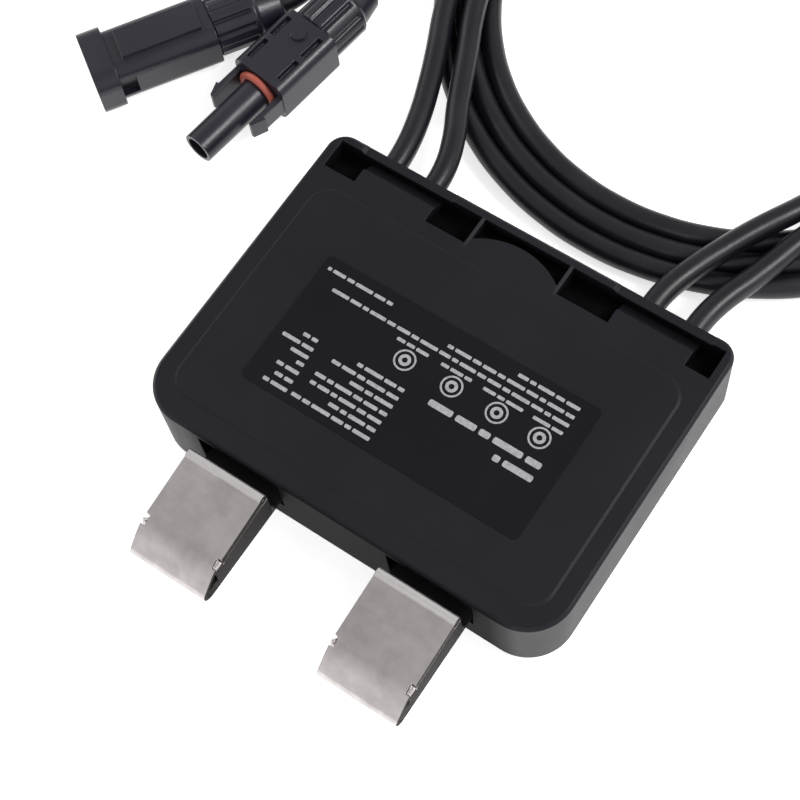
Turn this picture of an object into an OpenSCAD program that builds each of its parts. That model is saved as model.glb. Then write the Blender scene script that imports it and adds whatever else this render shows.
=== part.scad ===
// Power optimizer for one solar module: a flat moulded case with two frame
// clips at its front edge and four leads at its rear edge.
// Origin: middle of the case's back. X runs along the case, Y towards the leads, Z up to the face.

/* [Case] */
// Length of the case along the lead edge
case_w = 116; // [108:1:140]
// Depth of the case from the clip edge to the lead edge
case_d = 87; // [82:1:110]
// Height of the case from its back to its face
case_h = 22; // [21:0.5:30]
// Thickness of the side walls
wall_t = 4; // [3.4:0.2:5]
// Thickness of the face
face_t = 2.5; // [1.6:0.1:3.5]
// Corner radius at the lead edge
rear_corner_r = 5; // [4.5:0.5:8]
// Corner radius at the clip edge
front_corner_r = 12; // [7:0.5:16]
// Chamfer round the edge of the face
edge_chamfer = 0.8; // [0.3:0.1:1.5]

/* [Face] */
// Rise of the middle plateau above the border
plateau_rise = 0.4; // [0.2:0.1:1]
// Border beside the plateau
plateau_side = 5.2; // [3:0.2:10]
// Border in front of the plateau
plateau_front = 6.3; // [3:0.1:12]
// Border behind the plateau
plateau_rear = 15; // [12:0.5:25]
// Corner radius of the plateau
plateau_r = 6; // [2:0.5:12]
// Thickness of the rim along the lead edge
rim_t = 2.5; // [1.6:0.1:4]
// Thickness of the rim beside the corner pockets
side_rim_t = 2.8; // [1.8:0.1:4]
// How far the rim dips over the leads
rim_dip = 0.9; // [0.3:0.1:1.5]

/* [Face pockets] */
// Reach of the pockets from the lead edge
pocket_reach = 10.7; // [8:0.1:13]
// Depth of the pockets
pocket_depth = 6.4; // [3:0.1:6.6]
// Wall round and under each recess
pocket_wall = 1.2; // [0.8:0.1:2]
// Width of the left corner pocket
left_corner_w = 9.2; // [6:0.2:11]
// Width of the left middle pocket
left_middle_w = 11.6; // [8:0.2:14]
// Width of the right middle pocket
right_middle_w = 14.4; // [8:0.2:16]
// Width of the right corner pocket
right_corner_w = 6.6; // [5:0.2:10]
// Half width of the centre bay
bay_half_w = 12.2; // [9:0.2:16]
// Depth of the centre bay
bay_depth = 5; // [2:0.2:6]
// Narrowest reach of the centre bay, at its middle
bay_gap = 4.8; // [3.5:0.1:7]
// How far the centre bay widens towards its ends
bay_sag = 4; // [2:0.2:6]
// Thickness of the ribs beside the centre bay
rib_t = 1; // [0.8:0.1:2]
// Depth of the sloping trough above the leads
trough_depth = 3.4; // [1:0.2:5]
// Width of the trough from the rim inwards
trough_w = 4; // [2:0.2:6]

/* [Back plate] */
// Thickness of the metal back plate
plate_t = 2; // [1.5:0.1:3]
// Wall left round the edge of the plate
plate_lip = 2.2; // [1.6:0.1:2.6]
// Gap round the plate
plate_gap = 0.15; // [0.05:0.05:0.3]
// Thickness of the seal under the plate
gasket_t = 0.8; // [0.5:0.1:1.5]
// Radius of the plate screws
screw_r = 1.5; // [1:0.1:2]
// Radius of a plate screw's head
screw_head_r = 2.7; // [2.3:0.1:3.5]
// Height of a plate screw's head
screw_head_h = 1.1; // [0.8:0.1:1.4]
// Length of a plate screw
screw_len = 9; // [6:0.5:12]
// Radius of the screw bosses in the case
boss_r = 3.4; // [2.8:0.1:4.5]
// Distance of the screws from the side faces
screw_inset = 7; // [6:0.5:9]
// Distance of the front screws from the middle
screw_front_y = 20; // [15:0.5:24]
// Distance of the rear screws from the middle
screw_rear_y = 22; // [15:0.5:24]

/* [Circuit board] */
// Length of the board
board_w = 95; // [88:1:104]
// Depth of the board
board_d = 58; // [56:1:60]
// Thickness of the board
board_t = 1.6; // [1:0.1:2.4]
// Height of the posts under the board
post_h = 3; // [2:0.1:4]
// Radius of the posts under the board
post_r = 2.6; // [2:0.1:4]
// Distance of the posts from the board's edges
post_inset = 4; // [3:0.5:6]
// Width of the main inductor
inductor_w = 26; // [22:0.5:28]
// Depth of the main inductor
inductor_d = 20; // [16:0.5:24]
// Height of the main inductor
inductor_h = 10.5; // [8:0.1:11]
// Wall of the inductor's core
core_wall = 2.4; // [1.5:0.1:3]
// Radius of the core's middle post
core_post_r = 4.6; // [3:0.1:5.5]
// Outer radius of the filter choke
choke_r = 9; // [7:0.5:10]
// Radius of the hole in the filter choke
choke_hole_r = 4; // [2:0.5:5]
// Height of the filter choke
choke_h = 8; // [5:0.5:10]
// Width of a film capacitor
capacitor_w = 13; // [10:0.5:13.5]
// Depth of a film capacitor
capacitor_d = 6; // [4:0.5:7]
// Height of a film capacitor
capacitor_h = 10.5; // [8:0.5:11]
// Side of a power transistor
transistor_w = 9; // [7:0.5:10]
// Height of a power transistor
transistor_h = 4.2; // [2:0.1:5]
// Side of the controller chip
chip_w = 9; // [6:0.5:10]
// Height of the controller chip
chip_h = 1.4; // [0.8:0.1:2]
// Width of the signal transformer
transformer_w = 10; // [7:0.5:10.5]
// Depth of the signal transformer
transformer_d = 9; // [7:0.5:10]
// Height of the signal transformer
transformer_h = 8; // [5:0.5:10]
// Distance between the middles of neighbouring power transistors
transistor_pitch = 13; // [11:0.5:15]

/* [Frame clips] */
// Width of a clip
clip_w = 22; // [18:0.5:24]
// Thickness of the clip's sheet
clip_t = 1; // [0.8:0.1:1.2]
// Distance of the clips from the middle
clip_x = 27; // [25:0.5:30]
// Height of the underside of a clip
clip_z = 9.25; // [8.5:0.05:10.5]
// Outer radius of the fold at the clip's end
fold_r = 2.6; // [2:0.1:3.2]
// Distance of that fold's centre from the case
clip_reach = 27.5; // [24:0.5:32]
// Slope of the ramp between the fold and the upper leaf, in degrees
ramp_slope = 45; // [40:1:55]
// Height of the upper leaf at its lip
leaf_z = 21.5; // [21:0.1:21.6]
// Slope of the upper leaf in degrees
clip_slope = 8; // [4:0.5:9]
// Gap between the case and the clip's lip
clip_mouth = 3.2; // [2:0.1:5]
// Outer radius of the rolled lip
lip_r = 1.4; // [1.2:0.1:1.8]
// Gap between the leaf and the side walls, for the module frame's flange
flange_gap = 2.1; // [1.5:0.1:3]
// Length of the notches and the teeth in them
tooth_l = 2.6; // [1.5:0.1:4]
// Depth of the notches in the leaf's edges
notch_w = 2; // [1.2:0.1:3]
// How far a clip's tail goes into the case
tail_in = 10; // [8:0.5:11]
// Width of the window round a clip
window_w = 23.4; // [22.4:0.2:25]
// Depth of that window into the case
window_d = 5.5; // [4:0.5:7]
// Height of the window's lower edge
window_z0 = 7.6; // [6:0.1:8.4]
// Bar of the case above the window
window_bar = 2; // [1.5:0.1:3]
// Depth of the block that holds a clip's tail
anchor_d = 12; // [11.5:0.5:13]

/* [Leads] */
// Diameter of a lead
lead_d = 6.2; // [5:0.1:6.2]
// Height of the leads where they leave the case
lead_z = 11; // [10:0.1:11]
// Distance of the inner leads from the middle
lead_x_inner = 32; // [31.5:0.1:33]
// Distance of the outer leads from the middle
lead_x_outer = 44; // [43:0.1:44]
// Outer radius of the seal round a lead
seal_r = 4.2; // [3.8:0.1:4.4]
// Length of the seal outside the case
seal_out = 2; // [1:0.1:3]
// Gap round a lead in its seal and in its nut
lead_gap = 0.05; // [0:0.05:0.2]
// How far a lead goes into the case
lead_in = 13; // [12:0.5:15]
// Radius of a terminal's crimped barrel
barrel_r = 1.6; // [1.4:0.1:2.2]
// Length of a terminal's crimped barrel
barrel_l = 6; // [4:0.5:7]
// Thickness of a terminal's foot
terminal_t = 1.2; // [0.8:0.1:2]

/* [Connectors] */
// Width of the socket connector's nose
nose_w = 21; // [20.8:0.1:22]
// Height of the socket connector's nose
nose_h = 15; // [13:0.1:15.6]
// Length of the nose
nose_l = 6.5; // [5:0.5:9]
// Width of the socket connector's grip
grip_w = 16.8; // [15.6:0.1:17]
// Height of the socket connector's grip
grip_h = 14; // [13.2:0.1:14.4]
// Length of the socket connector's grip
socket_grip_l = 28.5; // [26:0.5:31]
// Width of the raised panel on the grip
panel_w = 9; // [6:0.5:11]
// Rise of the raised panel on the grip
panel_rise = 1.4; // [0.6:0.1:1.6]
// Distance of the raised panel from the grip's ends
panel_inset = 3; // [1:0.5:6]
// Radius of the sleeve on the pin connector
sleeve_r = 4.4; // [4:0.1:4.8]
// Gap between the sleeve and the socket's bore
sleeve_gap = 0.2; // [0.1:0.05:0.4]
// Length of the sleeve
sleeve_l = 24; // [20:0.5:26]
// Bore of the sleeve
sleeve_bore_r = 3.3; // [3:0.1:3.5]
// Thickness of the sealing ring's cord
ring_d = 2; // [1.4:0.1:2.4]
// Width of the pin connector's body
pin_body_w = 17.6; // [17.2:0.1:18.4]
// Height of the pin connector's body
pin_body_h = 14; // [13:0.1:15.4]
// Length of the pin connector's body
pin_body_l = 21; // [18:0.5:24]
// Distance of the slots from the sides of that body
slot_inset = 3.2; // [3:0.1:4]
// Width of a slot
slot_w = 1.6; // [1:0.1:2.4]
// Length of a slot
slot_l = 7; // [5:0.5:7]
// Depth of a slot
slot_depth = 1.8; // [0.8:0.1:2.2]
// Thickness of a latch arm
arm_t = 1.8; // [1.6:0.1:1.9]
// Width of a latch arm
arm_w = 6; // [4:0.1:6.6]
// Length of a latch arm
arm_l = 11; // [9:0.5:13]
// Height of the hook on a latch arm
hook_h = 0.8; // [0.5:0.1:0.9]
// Length of the hook on a latch arm
hook_l = 4; // [2:0.5:4.5]
// Gap round a latch arm in its channel
arm_gap = 0.2; // [0.1:0.05:0.25]
// Radius of the spigot inside a nut
spigot_r = 6.2; // [5.4:0.1:6.4]
// Length of the spigot inside a nut
spigot_l = 6; // [4:0.5:8]
// Outer radius of a nut
nut_r = 8; // [7.6:0.1:8]
// Radius of a nut at its end
nut_end_r = 5; // [4:0.1:6]
// Length of a nut
nut_l = 20; // [16:0.5:22]
// Length of the ribbed part of a nut
nut_rib_l = 12; // [8:0.5:14]
// Number of grooves round a nut
nut_grooves = 12; // [6:1:18]
// Depth of a groove in a nut
nut_groove = 0.6; // [0.3:0.1:0.8]
// Depth of a lead in its nut
nut_hole = 4; // [3:0.5:6]
// Radius of a contact
contact_r = 2; // [1.5:0.1:2.2]
// Length of a contact in front of its seat
contact_l = 18; // [14:0.5:20]
// Length of a contact inside its seat
contact_seat = 5; // [3:0.5:7]

/* [Coil tie] */
// Width of the tie round the coil
tie_w = 5; // [3:0.5:8]
// Thickness of the tie round the coil
tie_t = 1; // [0.6:0.1:1.4]

/* [Hidden] */
$fn = 64;
eps = 0.01;
clear = 1;

// Heights inside the case
seat_z = plate_t + gasket_t;
ceiling_z = case_h - face_t;
board_z = plate_t + post_h;
parts_z = board_z + board_t;
front_y = -case_d / 2;
rear_y = case_d / 2;
rim_y = rear_y - rim_t;
pocket_y = rear_y - pocket_reach;

// Recesses behind the rim: [left edge, right edge, depth]
left_corner = [-case_w / 2 + side_rim_t, -case_w / 2 + side_rim_t + left_corner_w, pocket_depth];
left_middle = [-bay_half_w - rib_t - left_middle_w, -bay_half_w - rib_t, pocket_depth];
right_middle = [bay_half_w + rib_t, bay_half_w + rib_t + right_middle_w, pocket_depth];
right_corner = [case_w / 2 - side_rim_t - right_corner_w, case_w / 2 - side_rim_t, pocket_depth];
pockets = [left_corner, left_middle, right_middle, right_corner];
troughs = [[left_corner[1], left_middle[0]], [right_middle[1], right_corner[0]]];
bay_r = (bay_half_w * bay_half_w + bay_sag * bay_sag) / (2 * bay_sag);

// Places of the screws, the clips and the leads
screw_x = case_w / 2 - screw_inset;
screw_places = [
    [-screw_x, -screw_front_y], [screw_x, -screw_front_y],
    [-screw_x, screw_rear_y], [screw_x, screw_rear_y]
];
lead_xs = [-lead_x_outer, -lead_x_inner, lead_x_inner, lead_x_outer];
lead_r = lead_d / 2;
lead_start_y = rear_y - lead_in;

// Connectors: the socket's nose and grip, the pin's sleeve and body, and the nut they share
socket_body_l = nose_l + socket_grip_l;
socket_l = socket_body_l + nut_l;
pin_front_l = sleeve_l + pin_body_l;
pin_l = pin_front_l + nut_l;
axis_z = nut_r;
arm_x = sleeve_r + ring_d + arm_gap + arm_t / 2;

// The coil of the long leads is a spiral of half circles, three strands in front and five behind;
// the rear half's middle lies one strand to the left
front_strands = 3;
rear_strands = 5;
coil_r = 70.7;
coil_x = 8;
coil_y = 141;
coil_back_x = coil_x - lead_d;
function back_r(i) = coil_r - lead_d + i * lead_d;

// Where each connector's tip lies on the floor, and the angle from +Y to its lead end
socket_1_place = [[21, 178], 90];
pin_2_place = [[25.1, 162], 111];
socket_3_place = [[-131.5, 28.8], -34];
pin_4_place = [[-92.5, 25.3], -8];

// Route points of the leads, from the case to the far end
function nut_end(place, length) = concat(
    place[0] + length * [-sin(place[1]), cos(place[1])], axis_z);
function in_nut(place, length) = nut_end(place, length - nut_hole);
function case_end(i, out) = [lead_xs[i], out, lead_z];
lead_1_route = [
    case_end(0, lead_start_y), case_end(0, rear_y), [-44.6, 52, 11], [-47, 62, 10.5], [-50.6, 72, 9.9],
    [-55, 82.5, 9.5], [-60.4, 94.4, 9.5], [-63.6, 104, 9.5], [-65, 114, 9.5], [-66, 124, 9.5],
    [-66.4, 138, 9.5], [-66, 151, 9.5], [-63.9, 161.3, 9.5], [-58.1, 170.1, 9.5], [-49.3, 175.9, 9.2],
    nut_end(socket_1_place, socket_l + 4), in_nut(socket_1_place, socket_l)
];
lead_2_route = [
    case_end(1, lead_start_y), case_end(1, rear_y), [-32.6, 52, 11], [-35.8, 61.5, 10.5], [-40.7, 71, 10],
    [-47, 84.5, 9.5], [-53.6, 98.5, 9.5], [-55.7, 105, 9.5], [-55.9, 113, 9.5], [-53.9, 123.2, 9.3],
    [-48.1, 131.7, 8.6],
    nut_end(pin_2_place, pin_l + 4), in_nut(pin_2_place, pin_l)
];
lead_3_start_route = [
    case_end(2, lead_start_y), case_end(2, rear_y), [32.6, 52, 11], [35, 61, 10.4], [38, 69, 9.8],
    [43, 80, 9.5], [48.5, 90.5, 8.8], [54, 104, 5.6], [60, 118, 3.5], [64.6, 131, 3.1],
    [coil_back_x + back_r(0), coil_y, lead_r]
];
lead_4_start_route = [
    case_end(3, lead_start_y), case_end(3, rear_y), [44.4, 51, 11], [46, 58.5, 10.7], [48.5, 66, 10],
    [50.8, 73.5, 9.6], [53.3, 82, 9.5], [57.5, 93, 9.4], [61.8, 105, 7.9], [67, 118, 4.6],
    [70.9, 131, 3.2], [coil_back_x + back_r(1), coil_y, lead_r]
];
lead_3_end_route = [
    [coil_back_x - back_r(4), coil_y, lead_r], [-88.2, 130, 3.5], [-90.4, 119, 4.4], [-93.2, 108, 5.7],
    [-95.4, 98, 6.9], [-96.6, 89, 7.7],
    nut_end(socket_3_place, socket_l + 3), in_nut(socket_3_place, socket_l)
];
lead_4_end_route = [
    [coil_back_x - back_r(3), coil_y, lead_r], [-82, 130, 3.6], [-82.5, 118, 5], [-82.5, 106, 6.9],
    nut_end(pin_4_place, pin_l + 4), in_nut(pin_4_place, pin_l)
];

// Plan of the case, drawn in by an inset
module plan(inset) {
    w = case_w - 2 * inset;
    d = case_d - 2 * inset;
    corners(w, d, front_corner_r - inset, rear_corner_r - inset);
}

// Rectangle with one radius at the front corners and one at the rear corners
module corners(w, d, front_r, rear_r) {
    fr = max(front_r, 0.4);
    rr = max(rear_r, 0.4);
    translate([-w / 2, -d / 2 + fr]) square([w, d - fr - rr]);
    translate([-w / 2 + fr, -d / 2]) square([w - 2 * fr, d / 2]);
    translate([-w / 2 + rr, 0]) square([w - 2 * rr, d / 2]);
    for (side = [-1, 1]) {
        translate([side * (w / 2 - fr), -d / 2 + fr]) circle(fr);
        translate([side * (w / 2 - rr), d / 2 - rr]) circle(rr);
    }
}

// Box between two corners
module span_box(low, high) {
    translate(low) cube(high - low);
}

// Cylinder along Y, from y0 to y1
module rod_y(y0, y1, r) {
    translate([0, y0, 0]) rotate([-90, 0, 0]) cylinder(h = y1 - y0, r = r);
}

// Plan shape in X and Z, drawn along Y from y0 to y1
module along_y(y0, y1) {
    translate([0, y1, 0]) rotate([90, 0, 0]) linear_extrude(y1 - y0) children();
}

// Side shape in Y and Z, drawn along X and centred there
module along_x(w) {
    rotate([90, 0, 90]) translate([0, 0, -w / 2]) linear_extrude(w) children();
}

module case_block() {
    hull() {
        linear_extrude(case_h - edge_chamfer) plan(0);
        linear_extrude(case_h) plan(edge_chamfer);
    }
}

module plateau() {
    depth = case_d - plateau_front - plateau_rear;
    translate([0, front_y + plateau_front + depth / 2, case_h - eps])
        linear_extrude(plateau_rise + eps)
            corners(case_w - 2 * plateau_side, depth, plateau_r, plateau_r);
}

// Plastic left round and under a recess of the face
module recess_cup(x0, x1, depth) {
    span_box(
        [max(x0 - pocket_wall, -case_w / 2 + 1), pocket_y - pocket_wall, case_h - depth - pocket_wall],
        [min(x1 + pocket_wall, case_w / 2 - 1), rear_y - 1, case_h - face_t + eps]
    );
}

module bay_recess() {
    translate([0, 0, case_h - bay_depth]) linear_extrude(bay_depth + clear) difference() {
        translate([-bay_half_w, pocket_y]) square([2 * bay_half_w, rim_y - pocket_y]);
        translate([0, rim_y - bay_gap + rim_t - bay_r]) circle(bay_r, $fn = 96);
    }
}

// Sloping trough from the rim up to the face
module trough(x0, x1) {
    translate([(x0 + x1) / 2, 0, 0]) along_x(x1 - x0 + 2 * eps) polygon([
        [rim_y - trough_w, case_h + clear],
        [rim_y - trough_w, case_h - trough_depth / 4],
        [rim_y, case_h - trough_depth],
        [rim_y, case_h + clear]
    ]);
}

// Dip in the rim's top over a pair of leads, with sloping ends
module rim_dip_cut(x0, x1) {
    along_y(rim_y - eps, rear_y + clear) polygon([
        [x0 - rim_dip - clear, case_h + clear], [x0, case_h - rim_dip],
        [x1, case_h - rim_dip], [x1 + rim_dip + clear, case_h + clear]
    ]);
}

module clip_window(x) {
    span_box(
        [x - window_w / 2, front_y - clear, window_z0],
        [x + window_w / 2, front_y + window_d, case_h - window_bar]
    );
    span_box(
        [x - clip_w / 2, front_y, clip_z],
        [x + clip_w / 2, front_y + tail_in, clip_z + clip_t]
    );
}

module clip_anchor(x) {
    side = (anchor_d - window_d) / 3;
    span_box(
        [x - window_w / 2 - side, front_y + 1, seat_z + 1],
        [x + window_w / 2 + side, front_y + anchor_d, ceiling_z + eps]
    );
}

module case_shell() color("#2b2b2e") difference() {
    union() {
        difference() {
            case_block();
            translate([0, 0, -clear]) linear_extrude(seat_z + clear) plan(plate_lip);
            translate([0, 0, -clear]) linear_extrude(ceiling_z + clear) plan(wall_t);
        }
        plateau();
        for (p = pockets) recess_cup(p[0], p[1], p[2]);
        for (t = troughs) recess_cup(t[0], t[1], trough_depth);
        recess_cup(-bay_half_w - rib_t, bay_half_w + rib_t, bay_depth);
        for (x = [-clip_x, clip_x]) clip_anchor(x);
        for (p = screw_places) translate([p[0], p[1], seat_z])
            cylinder(h = ceiling_z - seat_z + eps, r = boss_r);
    }
    for (p = pockets) span_box(
        [p[0], pocket_y, case_h - p[2]], [p[1], rim_y, case_h + clear]);
    for (t = troughs) trough(t[0], t[1]);
    bay_recess();
    for (t = troughs) rim_dip_cut(t[0] - rim_t, t[1] + rim_t);
    for (x = [-clip_x, clip_x]) clip_window(x);
    for (x = lead_xs) translate([x, 0, lead_z]) rod_y(rear_y - wall_t - clear, rear_y + clear, seal_r);
    for (p = screw_places) translate([p[0], p[1], seat_z - clear])
        cylinder(h = screw_len - seat_z + clear + 1, r = screw_r);
}

module back_plate() color("#a9adb0") difference() {
    union() {
        linear_extrude(plate_t) plan(plate_lip + plate_gap);
        for (x = [-1, 1], y = [-1, 1])
            translate([x * (board_w / 2 - post_inset), y * (board_d / 2 - post_inset), plate_t - eps])
                cylinder(h = post_h + eps, r = post_r);
    }
    for (p = screw_places) translate([p[0], p[1], 0]) {
        translate([0, 0, -clear]) cylinder(h = plate_t + 2 * clear, r = screw_r + plate_gap);
        translate([0, 0, -clear]) cylinder(h = screw_head_h + clear, r = screw_head_r + plate_gap);
    }
}

module plate_gasket() color("#3a3a3a") difference() {
    translate([0, 0, plate_t]) linear_extrude(gasket_t) difference() {
        plan(plate_lip + plate_gap);
        plan(wall_t);
    }
}

module plate_screws() color("#b9bcc0") for (p = screw_places) translate([p[0], p[1], 0]) {
    cylinder(h = screw_head_h, r = screw_head_r);
    cylinder(h = screw_len, r = screw_r);
}

module circuit_board() color("#1f5b38")
    difference() {
        translate([-board_w / 2, -board_d / 2, board_z]) cube([board_w, board_d, board_t]);
        for (p = screw_places) translate([p[0], p[1], board_z - clear])
            cylinder(h = board_t + 2 * clear, r = boss_r + boss_gap);
    }

// Places of the parts on the board: the capacitors stand at its ends and the others follow inwards
edge_gap = 0.8;
part_gap = 0.7;
boss_gap = 0.6;
pad_margin = 2;
capacitor_x = board_w / 2 - edge_gap - capacitor_w / 2;
capacitor_pitch = capacitor_d + 1.5;
inductor_x = -(capacitor_x - capacitor_w / 2 - part_gap - inductor_w / 2);
transformer_x = capacitor_x - capacitor_w / 2 - 3 * part_gap - transformer_w / 2;
choke_x = transformer_x - transformer_w / 2 - 3 * part_gap - transistor_w / 2 - 1;
chip_x = choke_x - choke_r - part_gap - chip_w / 2;
row_y = -6;
inductor_y = -2;
choke_y = -12;
diode_y = 4;
transformer_y = 6;
transistor_y = 17;
chip_y = -20;

// Puts a part on the board, with its middle at x, y
module on_board(x, y) {
    translate([x, y, parts_z]) children();
}

module inductor_core() color("#3d3f43") on_board(inductor_x, inductor_y) difference() {
    translate([-inductor_w / 2, -inductor_d / 2, 0]) cube([inductor_w, inductor_d, inductor_h]);
    difference() {
        translate([-inductor_w / 2 + core_wall, -inductor_d / 2 - clear, core_wall])
            cube([inductor_w - 2 * core_wall, inductor_d + 2 * clear, inductor_h - 2 * core_wall]);
        cylinder(h = inductor_h, r = core_post_r);
    }
}

module inductor_winding() color("#b4632d") on_board(inductor_x, inductor_y)
    translate([0, 0, core_wall]) rotate_extrude()
        translate([core_post_r, 0])
            square([inductor_w / 2 - core_wall - core_post_r, inductor_h - 2 * core_wall]);

module filter_choke() color("#7a4a2b") on_board(choke_x, choke_y) rotate_extrude() difference() {
    translate([choke_hole_r, 0]) square([choke_r - choke_hole_r, choke_h]);
    for (r = [choke_hole_r, choke_r]) translate([r, choke_h]) rotate(45) square(1.4, center = true);
}

// Row of three film capacitors along Y
module capacitor_row(x) {
    for (i = [-1, 0, 1]) on_board(x, row_y + i * capacitor_pitch)
        translate([-capacitor_w / 2, -capacitor_d / 2, 0]) cube([capacitor_w, capacitor_d, capacitor_h]);
}

module input_capacitors() color("#c9c4b4") capacitor_row(-capacitor_x);

module output_capacitors() color("#c9c4b4") capacitor_row(capacitor_x);

module power_transistors() color("#26262a") for (i = [0:3])
    on_board((i - 1.5) * transistor_pitch, transistor_y)
        translate([-transistor_w / 2, -transistor_w / 2, 0]) cube([transistor_w, transistor_w, transistor_h]);

module bypass_diode() color("#26262a") on_board(choke_x, diode_y)
    translate([-transistor_w / 2, -transistor_w / 2, 0]) cube([transistor_w, transistor_w, transistor_h]);

module controller_chip() color("#1c1c1f") on_board(chip_x, chip_y)
    translate([-chip_w / 2, -chip_w / 2, 0]) cube([chip_w, chip_w, chip_h]);

module signal_transformer() color("#c8b070") on_board(transformer_x, transformer_y)
    translate([-transformer_w / 2, -transformer_d / 2, 0]) cube([transformer_w, transformer_d, transformer_h]);

module thermal_pad() color("#8fa0b4")
    translate([
        -1.5 * transistor_pitch - transistor_w / 2 - pad_margin,
        transistor_y - transistor_w / 2 - pad_margin,
        plate_t
    ])
        cube([
            3 * transistor_pitch + transistor_w + 2 * pad_margin,
            transistor_w + 2 * pad_margin,
            post_h
        ]);

// Crimped barrel on a foot that stands on the board, in line with a lead
module lead_terminals() color("#c77f4a") for (x = lead_xs) translate([x, 0, 0]) {
    translate([0, 0, lead_z]) rod_y(lead_start_y - barrel_l, lead_start_y, barrel_r);
    span_box(
        [-barrel_r, lead_start_y - barrel_l, parts_z],
        [barrel_r, lead_start_y - barrel_l + terminal_t, lead_z]
    );
}

// Places along a clip's side, as [y, z]
lip_y = front_y - clip_mouth - lip_r;
fold_at = [front_y - clip_reach, clip_z + fold_r];
fold_end = fold_at + fold_r * [-sin(ramp_slope), cos(ramp_slope)];
knee_y = (leaf_z - lip_y * tan(clip_slope) - fold_end[1] + fold_end[0] * tan(ramp_slope))
    / (tan(ramp_slope) - tan(clip_slope));
tooth_y = knee_y + 1.6;

// Height of the leaf's top and of its underside at y
function leaf_top(y) = leaf_z + (y - lip_y) * tan(clip_slope);
function leaf_under(y) = leaf_top(y) - clip_t / cos(clip_slope);

// Outline of a bent sheet: a path, and the same path moved to its right by the sheet's thickness
function right_of(a, b) = let (d = (b - a) / norm(b - a)) [d[1], -d[0]];
function inner_point(path, i, t) =
    let (
        n1 = right_of(path[max(i - 1, 0)], path[max(i, 1)]),
        n2 = right_of(path[min(i, len(path) - 2)], path[min(i + 1, len(path) - 1)])
    )
    path[i] + t * (n1 + n2) / (1 + n1 * n2);
function bent_sheet(path, t) = concat(path, [for (i = [len(path) - 1:-1:0]) inner_point(path, i, t)]);

// Side shape of a clip's sheet: tail, fold, ramp, leaf and rolled lip
module clip_strip() {
    steps = 8;
    fold = [
        for (i = [0:steps]) let (turn = 270 - i * (180 - ramp_slope) / steps)
            fold_at + fold_r * [cos(turn), sin(turn)]
    ];
    path = concat([[front_y + tail_in, clip_z]], fold, [[knee_y, leaf_top(knee_y)], [lip_y, leaf_z]]);
    lip_at = [lip_y, leaf_z - lip_r + clip_t / 2];
    difference() {
        union() {
            polygon(bent_sheet(path, clip_t));
            translate(lip_at) circle(lip_r);
        }
        translate(lip_at) circle(lip_r - clip_t);
    }
}

// Side wall of a clip, with a tooth that stands in the leaf's notch
module clip_side() {
    near_y = front_y - clip_mouth;
    polygon([
        [near_y, clip_z], [near_y, leaf_under(near_y) - flange_gap],
        [tooth_y + tooth_l / 2, leaf_under(tooth_y + tooth_l / 2) - flange_gap],
        [tooth_y, leaf_under(tooth_y) + clip_t / 2],
        [tooth_y - tooth_l / 2, leaf_under(tooth_y) - flange_gap],
        [tooth_y - tooth_l / 2, clip_z]
    ]);
}

module frame_clip(x) color("#a5a29f") translate([x, 0, 0]) {
    difference() {
        along_x(clip_w) clip_strip();
        for (side = [-1, 1]) translate([side * clip_w / 2, tooth_y, leaf_under(tooth_y) + clip_t / 2])
            cube([2 * notch_w, tooth_l, 4 * clip_t], center = true);
    }
    for (side = [-1, 1]) translate([side * (clip_w - clip_t) / 2, 0, 0]) along_x(clip_t) clip_side();
}

module left_frame_clip() frame_clip(-clip_x);

module right_frame_clip() frame_clip(clip_x);

// Rubber seal round a lead, flush inside the wall and tapered outside it
module lead_seal(i) color("#1f1f21") translate([lead_xs[i], rear_y, lead_z]) rotate([-90, 0, 0])
    rotate_extrude() polygon([
        [lead_r + lead_gap, -wall_t], [seal_r, -wall_t], [seal_r, 0],
        [seal_r, seal_out / 2], [lead_r + lead_gap + 0.5, seal_out], [lead_r + lead_gap, seal_out]
    ]);

module lead_seal_1() lead_seal(0);

module lead_seal_2() lead_seal(1);

module lead_seal_3() lead_seal(2);

module lead_seal_4() lead_seal(3);

// Tube swept along route points, with rings square to the route
function unit(v) = v / norm(v);
function heading(path, i) = unit(path[min(i + 1, len(path) - 1)] - path[max(i - 1, 0)]);
function ring(path, i, r, sides) =
    let (t = heading(path, i), side = unit(cross(t, [0, 0, 1])), up = cross(side, t))
    [for (k = [0:sides - 1]) path[i] + r * (cos(360 * k / sides) * side + sin(360 * k / sides) * up)];

module tube(path, r, sides = 10) {
    n = len(path);
    points = [for (i = [0:n - 1]) each ring(path, i, r, sides)];
    walls = [
        for (i = [0:n - 2], k = [0:sides - 1])
            let (a = i * sides + k, b = i * sides + (k + 1) % sides)
            [a, b, b + sides, a + sides]
    ];
    caps = [[for (k = [sides - 1:-1:0]) k], [for (k = [0:sides - 1]) (n - 1) * sides + k]];
    polyhedron(points, concat(walls, caps), convexity = 6);
}

module lead_tube(route) color("#2c2c2f") tube(route, lead_r);

module lead_1() lead_tube(lead_1_route);

module lead_2() lead_tube(lead_2_route);

module lead_3_start() lead_tube(lead_3_start_route);

module lead_3_end() lead_tube(lead_3_end_route);

module lead_4_start() lead_tube(lead_4_start_route);

module lead_4_end() lead_tube(lead_4_end_route);

// Half ring of side-by-side strands
module half_ring(x, r, strands, turn) {
    translate([x, coil_y, 0]) rotate([0, 0, turn]) rotate_extrude(angle = 180)
        translate([r - lead_r, 0]) square([strands * lead_d, lead_d]);
}

module lead_coil() color("#2c2c2f") {
    half_ring(coil_x, coil_r, front_strands, 180);
    half_ring(coil_back_x, back_r(0), rear_strands, 0);
}

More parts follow.
